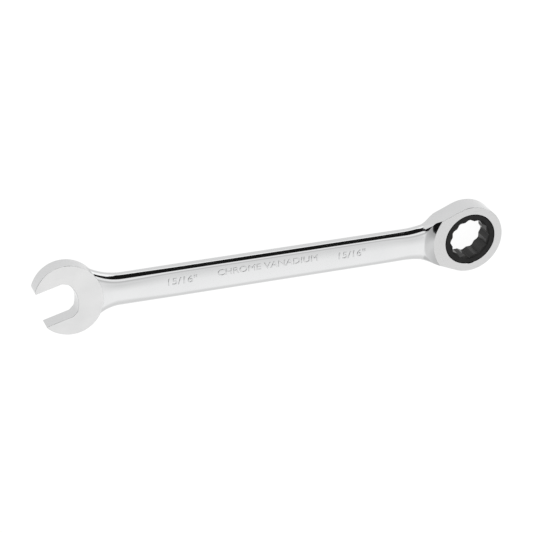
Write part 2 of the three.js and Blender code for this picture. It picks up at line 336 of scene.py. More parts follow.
def chain(parts):
    """Joins stretches of outline, leaving out points that repeat."""
    points = []
    for part in parts:
        for point in part:
            if not points or math.dist(point, points[-1]) > OUTLINE_STEP / 4:
                points.append(point)
    if math.dist(points[0], points[-1]) < OUTLINE_STEP / 4:
        points.pop()
    return points


def soften(points, passes=2):
    """Rounds an outline's corners by averaging neighbours, as polishing does."""
    for _ in range(passes):
        after = points[1:] + points[:1]
        before = points[-1:] + points[:-1]
        points = [
            ((a[0] + 2 * b[0] + c[0]) / 4, (a[1] + 2 * b[1] + c[1]) / 4)
            for a, b, c in zip(before, points, after)
        ]
    return points


def from_jaw(point):
    """A point given along and across the jaw, from the open head's middle."""
    along, across = point
    cos, sin = math.cos(JAW_ANGLE), math.sin(JAW_ANGLE)
    return (along * cos - across * sin - HEAD_SPACING, along * sin + across * cos)


def jaw_outline():
    throat_x = THROAT_DEPTH - THROAT_SAGITTA
    throat_r = (HALF_THROAT ** 2 + THROAT_SAGITTA ** 2) / (2 * THROAT_SAGITTA)
    sweep = math.asin(HALF_THROAT / throat_r)
    count = math.ceil(FULL_TURN * JAW_ACROSS / OUTLINE_STEP)
    cos, sin = math.cos(JAW_TURN), math.sin(JAW_TURN)
    head = []
    for i in range(count + 1):
        a = math.pi * (2 * i / count - 1)
        along, across = JAW_ALONG * math.cos(a), JAW_ACROSS * math.sin(a)
        point = (
            along * cos - across * sin + JAW_CENTRE[0],
            along * sin + across * cos + JAW_CENTRE[1],
        )
        if point[0] > -JAW_TIP:
            head.append(point)
    flat_in = line((-JAW_TIP, HALF_FLATS), (-FLAT_END, HALF_FLATS))
    corner_in = line((-FLAT_END, HALF_FLATS), (throat_x, HALF_THROAT))
    throat = arc((THROAT_DEPTH - throat_r, 0), throat_r, sweep, -sweep)
    corner_out = [(x, -y) for x, y in reversed(corner_in)]
    flat_out = [(x, -y) for x, y in reversed(flat_in)]
    points = chain([
        head, line(head[-1], flat_in[0]), flat_in, corner_in, throat, corner_out, flat_out,
        line(flat_out[-1], head[0]),
    ])
    return [from_jaw(p) for p in soften(points)]


def ring_outline():
    """The ring head: round, then a straight taper and its fillet each side, to past the foot."""
    taper = math.pi / 2 + TAPER_ANGLE
    round_part = arc((0, 0), RING_R, -taper, taper)
    from_x, to_x = -RING_R * math.sin(TAPER_ANGLE), -SHOULDER_FOOT_R - 1
    count = math.ceil((SHOULDER_FOOT_R + from_x) / OUTLINE_STEP)
    upper = []
    for i in range(count + 1):
        x = from_x + (to_x - from_x) * i / count
        upper.append((x, taper_edge(x) - NECK_INSET * blend(*NECK_INSET_RUN, x)))
    lower = [(x, -y) for x, y in reversed(upper)]
    return chain([round_part, upper, lower])


def shoulder_radius():
    """Radius of the concave drop, and the height of its foot, just under the shaft's face."""
    foot = HALF_SHAFT - SHAFT_CROWN - SLIVER
    rise, run = HALF_RING - foot, SHOULDER_FOOT_R - SHOULDER_R
    return (run ** 2 + rise ** 2) / (2 * rise), foot


def shoulder_height(r):
    """Height of the ring head's front surface, this far from the ring's axis."""
    radius, foot = shoulder_radius()
    if r < SHOULDER_R:
        return HALF_RING
    return foot + radius - math.sqrt(radius ** 2 - max(0, SHOULDER_FOOT_R - r) ** 2)


def shoulder_cut(name, side):
    """What is cut from one face of the ring head to leave the concave drop to the shaft."""
    span = SHOULDER_FOOT_R - SHOULDER_R
    bevel, outer = EDGE / 3, SHOULDER_FOOT_R + END_MARGIN
    radii = [SHOULDER_FOOT_R - span * i / SHOULDER_STEPS for i in range(SHOULDER_STEPS)]
    drop = [(r, shoulder_height(r)) for r in radii]
    drop += [(SHOULDER_R, HALF_RING - bevel), (SHOULDER_R - bevel, HALF_RING)]
    profile = [
        *reversed(drop), (SHOULDER_FOOT_R, -1), (outer, -1), (outer, BEYOND),
        (SHOULDER_R - bevel, BEYOND),
    ]
    if side < 0:
        profile = [(r, -z) for r, z in reversed(profile)]
    return turned(name, profile)


def neck_corner(x, a):
    """Point on the rounded corner between the drop and the ring head's side, at angle a."""
    left = (NECK_CORNER_TO - x) / (NECK_CORNER_TO - NECK_CORNER_FROM)
    fade = min(1.0, max(NECK_CORNER_LEAST, left))
    reach, height = corner_reach(x) * math.sqrt(fade), SHAFT_CORNER * fade
    edge = taper_edge(x) + SLIVER / 2
    top = shoulder_height(math.hypot(x, edge - reach)) + SLIVER
    return Vector((x, edge - reach * (1 - math.cos(a)), top - height * (1 - math.sin(a))))


def neck_corner_cut(name, side_y, side_z):
    """What is cut from one corner of the ring head's neck to leave it rounded."""
    along, around, tiny = 28, 10, 1e-3
    to_x = NECK_CORNER_TO - OUTLINE_STEP
    skin = Skin()
    sections = []
    for i in range(along + 1):
        x = NECK_CUT_FROM + (to_x - NECK_CUT_FROM) * i / along
        section = []
        for k in range(around + 1):
            a = math.pi / 2 * k / around
            point = neck_corner(x, a)
            forward = neck_corner(x + tiny, a) - neck_corner(x - tiny, a)
            upward = neck_corner(x, a + tiny) - neck_corner(x, a - tiny)
            section.append((point, forward.cross(upward)))
        low, high = section[0][0], section[-1][0]
        outside = low.y + SIDE_MARGIN
        for y, z in ((high.y, BEYOND), (outside, BEYOND), (outside, low.z)):
            section.append((Vector((x, y, z)), Vector((0, 0, 1))))
        sections.append(section)
    flip = Vector((1, side_y, side_z))
    count = len(sections[0])

    def face(corners):
        if side_y * side_z > 0:
            corners = corners[::-1]
        skin.face([p * flip for p, _ in corners], [n * flip for _, n in corners])

    for before, after in zip(sections, sections[1:]):
        for k in range(count):
            n = (k + 1) % count
            face([before[k], before[n], after[n], after[k]])
    face(sections[0][::-1])
    face(sections[-1])
    return skin.to_object(name)


# ---------------------------------------------------------------- shaft

def taper_edge(x):
    """Half width of the ring end of the shaft: straight taper, then its fillet."""
    fillet_y = HALF_WIDTH + TAPER_FILLET
    cos, sin = math.cos(TAPER_ANGLE), math.sin(TAPER_ANGLE)
    fillet_x = (fillet_y * cos - RING_R - TAPER_FILLET) / sin
    if x < fillet_x:
        return HALF_WIDTH
    if x > fillet_x + TAPER_FILLET * sin:
        return (RING_R + x * sin) / cos
    return fillet_y - math.sqrt(TAPER_FILLET ** 2 - (x - fillet_x) ** 2)


def jaw_edge(x, head_r, fillet_r):
    """Half width beside the open head, on one side."""
    y = HALF_WIDTH + fillet_r
    away = math.sqrt((head_r + fillet_r) ** 2 - y ** 2)
    meets = away * head_r / (head_r + fillet_r) - HEAD_SPACING
    if x > away - HEAD_SPACING:
        return HALF_WIDTH
    hidden = 0.6 * max(0.0, meets - x)
    return y - math.sqrt(fillet_r ** 2 - (max(x, meets) - away + HEAD_SPACING) ** 2) - hidden


def shaft_half_thickness(x):
    dip_start = JAW_ALONG - HEAD_SPACING
    return HALF_SHAFT - JAW_DIP * (1 - blend(dip_start, dip_start + JAW_DIP_RUN, x))


def corner_reach(x):
    """How far in from the shaft's edge its rounded corners start."""
    beside_head = max(blend(*FLARE_BY_JAW, x), blend(*FLARE_BY_RING, x))
    return SHAFT_CORNER_REACH + SHAFT_CORNER_FLARE * beside_head


def shaft_edges(x):
    """Distance from the shaft's middle line to its upper and to its lower edge."""
    if x < SHAFT_MIDDLE:
        return jaw_edge(x, *JAW_NECK_TOP), jaw_edge(x, *JAW_NECK_LOW)
    edge = taper_edge(x) - SHAFT_INSET * blend(-SHOULDER_FOOT_R, -SHOULDER_R, x)
    return edge, edge


def shaft_section(x):
    """Closed loop of [y, z] points round the shaft at x, each in the same order."""
    top, low = shaft_edges(x)
    middle = (top - low) / 2
    width = (top + low) / 2
    height = shaft_half_thickness(x)
    corner = min(SHAFT_CORNER, height - SHAFT_CROWN - SHAFT_SIDE)
    reach = corner_reach(x)
    quarter = []
    crown_steps, corner_steps, side_steps = 6, 12, 2
    for i in range(crown_steps):
        t = i / crown_steps
        quarter.append((t * (width - reach), height - SHAFT_CROWN * t * t))
    for i in range(corner_steps + 1):
        a = math.pi / 2 * (1 - i / corner_steps)
        quarter.append((
            width - reach + reach * math.cos(a),
            height - SHAFT_CROWN - corner + corner * math.sin(a),
        ))
    base = height - SHAFT_CROWN - corner
    for i in range(1, side_steps + 1):
        quarter.append((width, base * (1 - i / side_steps)))
    loop = quarter + [(y, -z) for y, z in reversed(quarter[:-1])]
    loop += [(-y, z) for y, z in reversed(loop[1:-1])]
    return [(y + middle, z) for y, z in loop]


def shaft():
    stations = []
    x = SHAFT_START
    while x < SHAFT_END:
        stations.append(x)
        past_jaw, before_ring = x - PLAIN_FROM, PLAIN_TO - x
        x += STATION_STEP + min(STATION_EXTRA, max(0.0, min(past_jaw, before_ring) / STATION_EASE))
    stations.append(SHAFT_END)
    loops = [[Vector((x, y, z)) for y, z in shaft_section(x)] for x in stations]
    count = len(loops[0])
    normals = []
    for i, loop in enumerate(loops):
        before, after = loops[max(i - 1, 0)], loops[min(i + 1, len(loops) - 1)]
        normals.append([
            (loop[k - 1] - loop[(k + 1) % count]).cross(after[k] - before[k]).normalized()
            for k in range(count)
        ])
    skin = Skin()
    for i in range(len(loops) - 1):
        for k in range(count):
            n = (k + 1) % count
            skin.face(
                [loops[i][k], loops[i][n], loops[i + 1][n], loops[i + 1][k]],
                [normals[i][k], normals[i][n], normals[i + 1][n], normals[i + 1][k]],
            )
    skin.flat(list(reversed(loops[0])))
    skin.flat(loops[-1])
    return skin.to_object("shaft")


# ---------------------------------------------------------------- body

def rod_along_x(name, radius, from_x, to_x, z, steps=32):
    """A cylinder along the wrench, at this height."""
    skin = Skin()
    ring = [
        (radius * math.cos(FULL_TURN * k / steps), radius * math.sin(FULL_TURN * k / steps))
        for k in range(steps)
    ]
    for k, (y0, z0) in enumerate(ring):
        y1, z1 = ring[(k + 1) % steps]
        skin.face(
            [(to_x, y0, z0 + z), (to_x, y1, z1 + z), (from_x, y1, z1 + z), (from_x, y0, z0 + z)],
            [(0, y0, z0), (0, y1, z1), (0, y1, z1), (0, y0, z0)],
        )
    skin.flat([(to_x, y, w + z) for y, w in ring])
    skin.flat([(from_x, y, w + z) for y, w in reversed(ring)])
    return skin.to_object(name)


def build(name, first, joined, cut):
    """One object from a solid, the solids joined to it and the solids cut from it."""
    solids = [tag(s) for s in [first, *joined, *cut]]
    sources = {s.data.materials[0].name: source_of(s) for s in solids}
    cutters = {s.data.materials[0].name for s in cut}
    for other in joined:
        combine(first, other, "UNION")
    for other in cut:
        combine(first, other, "DIFFERENCE")
    for other in [*joined, *cut]:
        bpy.data.objects.remove(other)
    bm = bmesh.new()
    bm.from_mesh(first.data)
    bmesh.ops.triangulate(bm, faces=bm.faces)
    bm.to_mesh(first.data)
    bm.free()
    restore_normals(first, sources, cutters)
    first.name = first.data.name = name
    return first


def chamber():
    """The room inside the ring head, with the snap ring's groove and the lip round the collar."""
    return turned("chamber", [
        (0, -BEYOND),
        (CHAMBER_R + BORE_CHAMFER, -BEYOND),
        (CHAMBER_R + BORE_CHAMFER, -HALF_RING),
        (CHAMBER_R, -HALF_RING + BORE_CHAMFER),
        (CHAMBER_R, GROOVE_BOTTOM),
        (GROOVE_R, GROOVE_BOTTOM),
        (GROOVE_R, GROOVE_TOP),
        (CHAMBER_R, GROOVE_TOP),
        (CHAMBER_R, CHAMBER_TOP),
        (LIP_R, CHAMBER_TOP),
        (LIP_R, HALF_RING - BORE_CHAMFER),
        (LIP_R + BORE_CHAMFER, HALF_RING),
        (LIP_R + BORE_CHAMFER, BEYOND),
        (0, BEYOND),
    ])


def body():
    """The forging: open head, shaft and ring head, hollowed for the ratchet."""
    circle = arc((POCKET_X, 0), POCKET_R, 0, FULL_TURN)[:-1]
    pocket = slab("pocket", circle, POCKET_BOTTOM, POCKET_TOP)
    hole = rod_along_x("spring_hole", SPRING_HOLE_R, SPRING_HOLE_END, POCKET_X, POCKET_MIDDLE)
    ring_slab = slab("ring_slab", ring_outline(), -HALF_RING, HALF_RING, EDGE)
    drops = [shoulder_cut("front_drop", 1), shoulder_cut("back_drop", -1)]
    corners = [
        neck_corner_cut(f"neck_corner_{i}", *sides)
        for i, sides in enumerate(((1, 1), (1, -1), (-1, 1), (-1, -1)))
    ]
    ring_head = build("ring_head", ring_slab, [], [*drops, *corners])
    jaw_head = slab("jaw_head", jaw_outline(), -HALF_JAW, HALF_JAW, JAW_EDGE)
    return build("chromed_body", shaft(), [ring_head, jaw_head], [chamber(), pocket, hole])


wrench_body = body()
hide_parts("wrench_body")
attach(wrench_body, "body")

# ---------------------------------------------------------------- raised marks

MARK_HEIGHT = 0.35
MARK_ROOT = 0.3
MARK_BEVEL = 0.28
MARK_STROKE = 0.06  # added to each side of the letters' strokes
CAPITAL = 0.7  # height of a capital letter, as a share of the type's size
# name, words, from and to along the shaft, middle across it, height
MARKS = [
    ("size_mark_jaw_end", '15/16"', -205.1, -186.2, 1.3, 4.8),
    ("size_mark_ring_end", '15/16"', -91.1, -72.7, 1.2, 4.8),
    ("steel_mark", "CHROME VANADIUM", -172.6, -105.5, 2.4, 4.2),
]


def mark(name, text, from_x, to_x, y, height):
    """Raised letters on the shaft's front face, following its crown."""
    curve = bpy.data.curves.new(name, "FONT")
    curve.body = text
    curve.size = height / CAPITAL
    curve.extrude = (MARK_HEIGHT + MARK_ROOT) / 2
    curve.bevel_depth = MARK_BEVEL
    curve.bevel_resolution = 2
    curve.offset = MARK_STROKE - MARK_BEVEL
    curve.resolution_u = 5
    letters = bpy.data.objects.new(name, curve)
    bpy.context.scene.collection.objects.link(letters)
    mesh = bpy.data.meshes.new_from_object(
        letters.evaluated_get(bpy.context.evaluated_depsgraph_get()))
    bpy.data.objects.remove(letters)
    low = [min(v.co[i] for v in mesh.vertices) for i in range(3)]
    high = [max(v.co[i] for v in mesh.vertices) for i in range(3)]
    for vertex in mesh.vertices:
        t = [(vertex.co[i] - low[i]) / (high[i] - low[i]) for i in range(3)]
        at_y = y + height * (t[1] - 0.5)
        crown = SHAFT_CROWN * (at_y / (HALF_WIDTH - SHAFT_CORNER)) ** 2
        depth = (MARK_HEIGHT + MARK_ROOT) * (1 - t[2])
        vertex.co = place((
            from_x + (to_x - from_x) * t[0], at_y, HALF_SHAFT - crown + MARK_HEIGHT - depth))
    piece = bpy.data.objects.new(name, mesh)
    bpy.context.scene.collection.objects.link(piece)
    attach(piece, "body")
    return piece


marks = [mark(*row) for row in MARKS]

# ---------------------------------------------------------------- ratchet

TOOTH_COUNT = 72
TOOTH_TIP_R = 19.3
TOOTH_ROOT_R = 18.35
TOOTH_FLAT = math.radians(0.45)
PITCH = FULL_TURN / TOOTH_COUNT
GEAR_TOP = 4.3
GEAR_BOTTOM = -4.5
GEAR_FACE = 6.8
COLLAR_R = 17.2
BACK_HUB_R = 18.0
HUB_EDGE = 0.35
SOCKET_PHASE = math.radians(3.2)
SOCKET_CORNER = 0.35
SOCKET_LEAD_IN = 0.9
SOCKET_RIM = 0.35  # how far past the socket's corners the lead-in reaches
CORNER_R = HALF_FLATS / math.cos(math.pi / 6)
NOTCH_R = HALF_FLATS / math.cos(math.pi / 12)


def polar(radius, angle):
    return (radius * math.cos(angle), radius * math.sin(angle))


def tooth_row(first, count, root_r, tip_r, phase=0.0):
    """Outline of a stretch of teeth, flat-topped, one pitch apart."""
    points = []
    flank = PITCH / 2 - TOOTH_FLAT
    for i in range(first, first + count):
        middle = i * PITCH + phase
        points += [
            polar(root_r, middle - flank), polar(tip_r, middle - TOOTH_FLAT),
            polar(tip_r, middle + TOOTH_FLAT), polar(root_r, middle + flank),
        ]
    return points


def socket_outline():
    """Two hexagons turned 30 degrees to each other, each point with a narrow flat."""
    points = []
    half = SOCKET_CORNER / 2
    reach = math.hypot(CORNER_R - half * math.tan(math.pi / 6), half)
    lean = math.atan2(half, CORNER_R)
    for i in range(12):
        middle = SOCKET_PHASE + i * math.pi / 6
        points += [
            polar(reach, middle - lean), polar(reach, middle + lean),
            polar(NOTCH_R, middle + math.pi / 12),
        ]
    return points


def lead_in(name, side):
    """Cone that opens one end of the socket."""
    rim, foot = CORNER_R + SOCKET_RIM, GEAR_FACE - SOCKET_LEAD_IN
    profile = [
        (0, foot), (rim - SOCKET_LEAD_IN, foot), (rim, GEAR_FACE), (rim, BEYOND), (0, BEYOND),
    ]
    if side < 0:
        profile = [(r, -z) for r, z in reversed(profile)]
    return turned(name, profile)


def gear():
    row = tooth_row(0, TOOTH_COUNT, TOOTH_ROOT_R, TOOTH_TIP_R)
    teeth = slab("teeth", row, GEAR_BOTTOM, GEAR_TOP)
    step = GEAR_BOTTOM + 1  # from the back hub to the collar, inside the toothed disc
    hub = turned("hub", [
        (0, -GEAR_FACE), (BACK_HUB_R - HUB_EDGE, -GEAR_FACE), (BACK_HUB_R, -GEAR_FACE + HUB_EDGE),
        (BACK_HUB_R, step), (COLLAR_R, step), (COLLAR_R, GEAR_FACE - HUB_EDGE),
        (COLLAR_R - HUB_EDGE, GEAR_FACE), (0, GEAR_FACE),
    ])
    socket = slab("socket", socket_outline(), -BEYOND, BEYOND)
    leads = [lead_in("lead_front", 1), lead_in("lead_back", -1)]
    return build("twelve_point_gear", hub, [teeth], [socket, *leads])


ratchet_gear = gear()
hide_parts("ratchet_gear")
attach(ratchet_gear, "gear")

# ---------------------------------------------------------------- pawl, its spring, snap ring

PAWL_R = 12.0
PAWL_X = -11.2
PAWL_HALF_WIDTH = 9.6
PAWL_TEETH = 10
PAWL_GAP = 0.3
PAWL_HOLE_START = -30.0  # behind the pawl's back
PAWL_HOLE_END = -20.4
SPRING_R = 1.5
SPRING_TURNS = 8
SPRING_GAP = 0.03  # to the bottoms of its holes
SPRING_CLOSED = 0.048  # share of the wire in each closed end
SPRING_CLOSING = 0.35  # how much flatter the closed ends are than the rest
WIRE_R = 0.28
SNAP_OUTER_R = 20.3
SNAP_INNER_R = 18.3
SNAP_TOP = -4.8
SNAP_BOTTOM = -5.8
SNAP_GAP_AT = math.radians(-60)
SNAP_GAP = math.radians(14)
SNAP_NOTCH_R = 0.62


def pawl():
    """Crescent with teeth that fit the gear's and a blind hole for the spring."""
    root_r = TOOTH_TIP_R + PAWL_GAP
    tip_r = TOOTH_ROOT_R + PAWL_GAP
    row = tooth_row(-PAWL_TEETH // 2, PAWL_TEETH, root_r, tip_r, math.pi + PITCH / 2)
    row.reverse()
    end_x = row[0][0]
    lean = math.asin(PAWL_HALF_WIDTH / PAWL_R)
    outline = [
        *row, (end_x, PAWL_HALF_WIDTH), *arc((PAWL_X, 0), PAWL_R, math.pi - lean, math.pi + lean),
        (end_x, -PAWL_HALF_WIDTH),
    ]
    crescent = slab("crescent", outline, POCKET_BOTTOM + PAWL_GAP, POCKET_TOP - PAWL_GAP, FINE_EDGE)
    hole = rod_along_x("blind_hole", SPRING_HOLE_R, PAWL_HOLE_START, PAWL_HOLE_END, POCKET_MIDDLE)
    return build("pawl_crescent", crescent, [], [hole])


def pawl_spring():
    """Closed-ended compression spring between the bottoms of its two blind holes."""
    around, per_turn = 10, 20
    steps = SPRING_TURNS * per_turn
    near, far = PAWL_HOLE_END - WIRE_R - SPRING_GAP, SPRING_HOLE_END + WIRE_R + SPRING_GAP
    skin = Skin()
    rings = []
    for i in range(steps + 1):
        t = i / steps
        eased = blend(SPRING_CLOSED, 1 - SPRING_CLOSED, t)
        advance = eased * SPRING_CLOSING + t * (1 - SPRING_CLOSING)
        a = FULL_TURN * SPRING_TURNS * t
        outward = Vector((0, math.cos(a), math.sin(a)))
        middle = Vector((near + (far - near) * advance, 0, POCKET_MIDDLE)) + outward * SPRING_R
        ring = []
        for k in range(around):
            b = FULL_TURN * k / around
            normal = outward * math.cos(b) + Vector((1, 0, 0)) * math.sin(b)
            ring.append((middle + normal * WIRE_R, normal))
        rings.append(ring)
    for before, after in zip(rings, rings[1:]):
        for k in range(around):
            corners = [before[k], before[k - 1], after[k - 1], after[k]]
            skin.face([p for p, _ in corners], [n for _, n in corners])
    skin.flat([p for p, _ in rings[0]])
    skin.flat([p for p, _ in reversed(rings[-1])])
    return skin.to_object("pawl_coil_spring")


def snap_ring():
    """Flat open ring with a half-round notch at each end for the pliers."""
    start, end = SNAP_GAP_AT + SNAP_GAP, SNAP_GAP_AT - SNAP_GAP + FULL_TURN
    outline = [
        *arc((0, 0), SNAP_OUTER_R, start, end), *arc((0, 0), SNAP_INNER_R, end, start),
    ]
    ring = slab("ring", outline, SNAP_BOTTOM, SNAP_TOP, FINE_EDGE)
    notches = [
        slab(name, arc(polar(SNAP_INNER_R, at), SNAP_NOTCH_R, 0, FULL_TURN)[:-1],
             SNAP_BOTTOM - 1, SNAP_TOP + 1)
        for name, at in (("notch_start", start), ("notch_end", end))
    ]
    return build("retaining_ring", ring, [], notches)


pawl_piece = pawl()
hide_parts("pawl")
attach(pawl_piece, "pawl")

spring_piece = pawl_spring()
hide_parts("pawl_spring")
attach(spring_piece, "body")
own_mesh(spring_piece)

snap_piece = snap_ring()
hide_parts("snap_ring")
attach(snap_piece, "body")

# ---------------------------------------------------------------- materials


class Nodes:
    """Short calls that add nodes to a tree. Inputs are sockets or constants."""

    def __init__(self, tree):
        self.tree = tree

    def add(self, kind, inputs=None, **settings):
        node = self.tree.nodes.new(kind)
        for key, value in settings.items():
            setattr(node, key, value)
        for key, value in (inputs or {}).items():
            self.put(node.inputs[key], value)
        return node

    def put(self, socket, value):
        if isinstance(value, bpy.types.NodeSocket):
            self.tree.links.new(value, socket)
        else:
            socket.default_value = value

    def math(self, operation, a, b=0.0):
        return self.add("ShaderNodeMath", {0: a, 1: b}, operation=operation).outputs[0]

    def scaled(self, value, low, high, to_low=0.0, to_high=1.0, curve="LINEAR"):
        return self.add("ShaderNodeMapRange", {
            "Value": value, "From Min": low, "From Max": high, "To Min": to_low,
            "To Max": to_high,
        }, interpolation_type=curve).outputs[0]

    def through(self, value, points):
        """Straight stretches from point to point, each a pair of the value and the result."""
        total = points[0][1]
        for (low, was), (high, now) in zip(points, points[1:]):
            if now != was:
                total = self.math("ADD", total, self.scaled(value, low, high, 0.0, now - was))
        return total

    def mix(self, factor, a, b):
        return self.add("ShaderNodeMix", {0: factor, 6: a, 7: b}, data_type="RGBA").outputs[2]


class Look(Nodes):
    """A node material on a Principled shader, in the row frame's coordinates."""

    def __init__(self, name):
        self.material = bpy.data.materials.new(name)
        self.material.use_nodes = True
        super().__init__(self.material.node_tree)
        self.shader = self.tree.nodes["Principled BSDF"]
        self.where = self.add("ShaderNodeTexCoord").outputs["Object"]

    def set(self, **inputs):
        for key, value in inputs.items():
            self.put(self.shader.inputs[key.replace("_", " ")], value)

    def vector(self, operation, a, b):
        return self.add("ShaderNodeVectorMath", {0: a, 1: b}, operation=operation).outputs[0]

    def upright_distance(self, offset):
        """Length of an offset's X and Y parts: the distance from an upright axis."""
        flat = self.vector("MULTIPLY", offset, (1, 1, 0))
        return self.add("ShaderNodeVectorMath", {0: flat}, operation="LENGTH").outputs["Value"]

    def ring_distance(self):
        return self.upright_distance(self.vector("SUBTRACT", self.where, tuple(RING_CENTRE)))

    def mapped(self, scale=(1, 1, 1), turn=0.0):
        """Coordinates turned about Z and stretched: a low scale on an axis gives long grain."""
        return self.add("ShaderNodeMapping", {
            "Vector": self.where, "Rotation": (0, 0, turn), "Scale": scale,
        }).outputs[0]

    def noise(self, scale, vector=None, detail=2.0, roughness=0.5):
        return self.add("ShaderNodeTexNoise", {
            "Vector": vector or self.where, "Scale": scale, "Detail": detail,
            "Roughness": roughness,
        }).outputs[0]

    def between(self, factor, a, b):
        return self.add("ShaderNodeMix", {0: factor, 2: a, 3: b}, data_type="FLOAT").outputs[0]

    def bump(self, height, distance, strength=1.0, under=None):
        inputs = {"Height": height, "Distance": distance, "Strength": strength}
        if under:
            inputs["Normal"] = under
        return self.add("ShaderNodeBump", inputs).outputs[0]


def grey(value, warmth=0.0):
    """A grey, a little yellow if warmth is above 0 and a little blue if it is below."""
    return (value * (1 + warmth), value, value * (1 - warmth), 1.0)


def scratches(look, turn, scale):
    """Sparse, thin, long marks in one direction, as a 0 to 1 mask."""
    lines = look.noise(scale, look.mapped((0.03, 1.0, 0.4), turn), 1.0)
    return look.scaled(lines, 0.70, 0.78)


def satin_faces(look):
    """1 on the ring head's flat faces, and 1 on those and the open head's."""
    outside, inside = (SHOULDER_R + 0.15) * MM, (SHOULDER_R - 0.1) * MM
    on_ring = look.scaled(look.ring_distance(), outside, inside)
    to_jaw = look.add("ShaderNodeMapping", {
        "Vector": look.where, "Location": tuple(place((*from_jaw(JAW_CENTRE), 0))),
        "Rotation": (0, 0, JAW_ANGLE + JAW_TURN), "Scale": (JAW_ALONG * MM, JAW_ACROSS * MM, 1),
    }, vector_type="TEXTURE").outputs[0]
    on_jaw = look.scaled(look.upright_distance(to_jaw), 1.006, 0.998)
    normal = look.add("ShaderNodeNewGeometry").outputs["Normal"]
    slope = look.math("ABSOLUTE", look.add("ShaderNodeSeparateXYZ", {0: normal}).outputs["Z"])
    heads = look.math("MAXIMUM", on_ring, on_jaw)
    return on_ring, look.math("MULTIPLY", heads, look.scaled(slope, 0.98, 0.998))


def chrome():
    """Bright plating: polished on the shaft, satin on the flat faces of both heads, with painted
    shade that makes the ring head's satin faces a darker grey than the open head's.
    """
    look = Look("Polished and satin chrome")
    on_ring, satin = satin_faces(look)
    cloud = look.noise(45, detail=4.0)
    polish = look.noise(900, look.mapped((0.02, 1, 1)), 3.0)
    grain = look.noise(2600, detail=3.0, roughness=0.6)
    marks_seen = look.math("MAXIMUM", scratches(look, 0.35, 1500), scratches(look, -1.1, 1700))
    shine = look.scaled(cloud, 0.35, 0.7, 0.045, 0.085)
    shine = look.math("ADD", shine, look.scaled(polish, 0.4, 0.7, 0.0, 0.03))
    matt = look.scaled(cloud, 0.3, 0.7, 0.25, 0.31)
    matt = look.math("ADD", matt, look.scaled(grain, 0.3, 0.7, 0.0, 0.06))
    rough = look.between(satin, shine, matt)
    rough = look.math("ADD", rough, look.math("MULTIPLY", marks_seen, 0.08))
    # painted shade: both heads' satin faces are the same chrome, but the ring head's take a darker
    # grey (0.565 against 0.69) for the dimmer light they reflect
    satin_tone_with_ring_shade = look.mix(on_ring, grey(0.69, 0.002), grey(0.565, 0.002))
    tone = look.mix(satin, grey(0.63, -0.004), satin_tone_with_ring_shade)
    tone = look.mix(look.scaled(cloud, 0.3, 0.75, 0.0, 0.5), tone, grey(0.60, -0.008))
    tone = look.mix(look.scaled(grain, 0.35, 0.65, 0.0, 0.12), tone, grey(0.5))
    relief = look.bump(look.math("MULTIPLY", grain, satin), 0.00002, 0.5)
    relief = look.bump(polish, 0.0000015, 0.4, relief)
    look.set(Base_Color=tone, Metallic=1.0, Roughness=rough, Normal=relief)
    return look.material


def blacked(name, base, worn, rough, wear_r=None):
    """Blackened steel: fine grain, dull, rubbed lighter in places and round wear_r."""
    look = Look(name)
    cloud = look.noise(260, detail=4.0)
    grain = look.noise(5200, detail=2.0)
    wear = look.scaled(cloud, 0.45, 0.75, 0.0, 0.35)
    if wear_r:
        distance = look.ring_distance()
        touched = look.scaled(distance, (wear_r + 2.3) * MM, (wear_r + 0.6) * MM, 0.0, 0.9)
        patchy = look.math("MULTIPLY", touched, look.scaled(cloud, 0.3, 0.6, 0.6, 1.0))
        wear = look.math("MAXIMUM", wear, patchy)
    tone = look.mix(wear, grey(base, 0.01), grey(worn, 0.02))
    tone = look.mix(look.scaled(grain, 0.35, 0.65, 0.0, 0.3), tone, grey(base * 0.5))
    roughness = look.scaled(grain, 0.3, 0.7, rough - 0.05, rough + 0.08)
    roughness = look.math("ADD", roughness, look.scaled(wear, 0, 1, 0, -0.12))
    look.set(
        Base_Color=tone, Metallic=0.35, Specular_IOR_Level=0.22, Roughness=roughness,
        Normal=look.bump(grain, 0.000012, 0.5),
    )
    return look.material


def ground(name, base, rough, stretch):
    """Bare steel with the fine parallel lines that grinding or drawing leaves, and a film of oil."""
    look = Look(name)
    lines = look.noise(2400, look.mapped(stretch), 3.0)
    cloud = look.noise(300, detail=3.0)
    tone = look.mix(look.scaled(cloud, 0.35, 0.7, 0.0, 0.6), grey(base), grey(base * 0.8, 0.03))
    tone = look.mix(look.scaled(lines, 0.4, 0.65, 0.0, 0.4), tone, grey(base * 0.7))
    look.set(
        Base_Color=tone, Metallic=1.0,
        Roughness=look.scaled(lines, 0.3, 0.7, rough - 0.06, rough + 0.1),
        Normal=look.bump(lines, 0.000004, 0.5),
        Coat_Weight=0.25, Coat_Roughness=look.scaled(cloud, 0.3, 0.7, 0.08, 0.25),
    )
    return look.material


CHROME = chrome()
GEAR_BLACK = blacked("Black phosphate", 0.012, 0.03, 0.34, HALF_FLATS)
CLIP_BLACK = blacked("Blued spring steel", 0.05, 0.12, 0.36)
PAWL_STEEL = ground("Ground tool steel", 0.42, 0.3, (1, 1, 0.04))
WIRE_STEEL = ground("Drawn spring wire", 0.5, 0.24, (0.2, 1, 1))

for piece, material in (
    (wrench_body, CHROME), *((piece, CHROME) for piece in marks), (ratchet_gear, GEAR_BLACK),
    (pawl_piece, PAWL_STEEL), (spring_piece, WIRE_STEEL), (snap_piece, CLIP_BLACK),
):
    piece.data.materials.clear()
    piece.data.materials.append(material)

# ---------------------------------------------------------------- floor and light

FLOOR_HALF = 4.0
FLOOR_DROP = 0.0002  # below the wrench, in metres
FLOOR_GLOW = 0.95


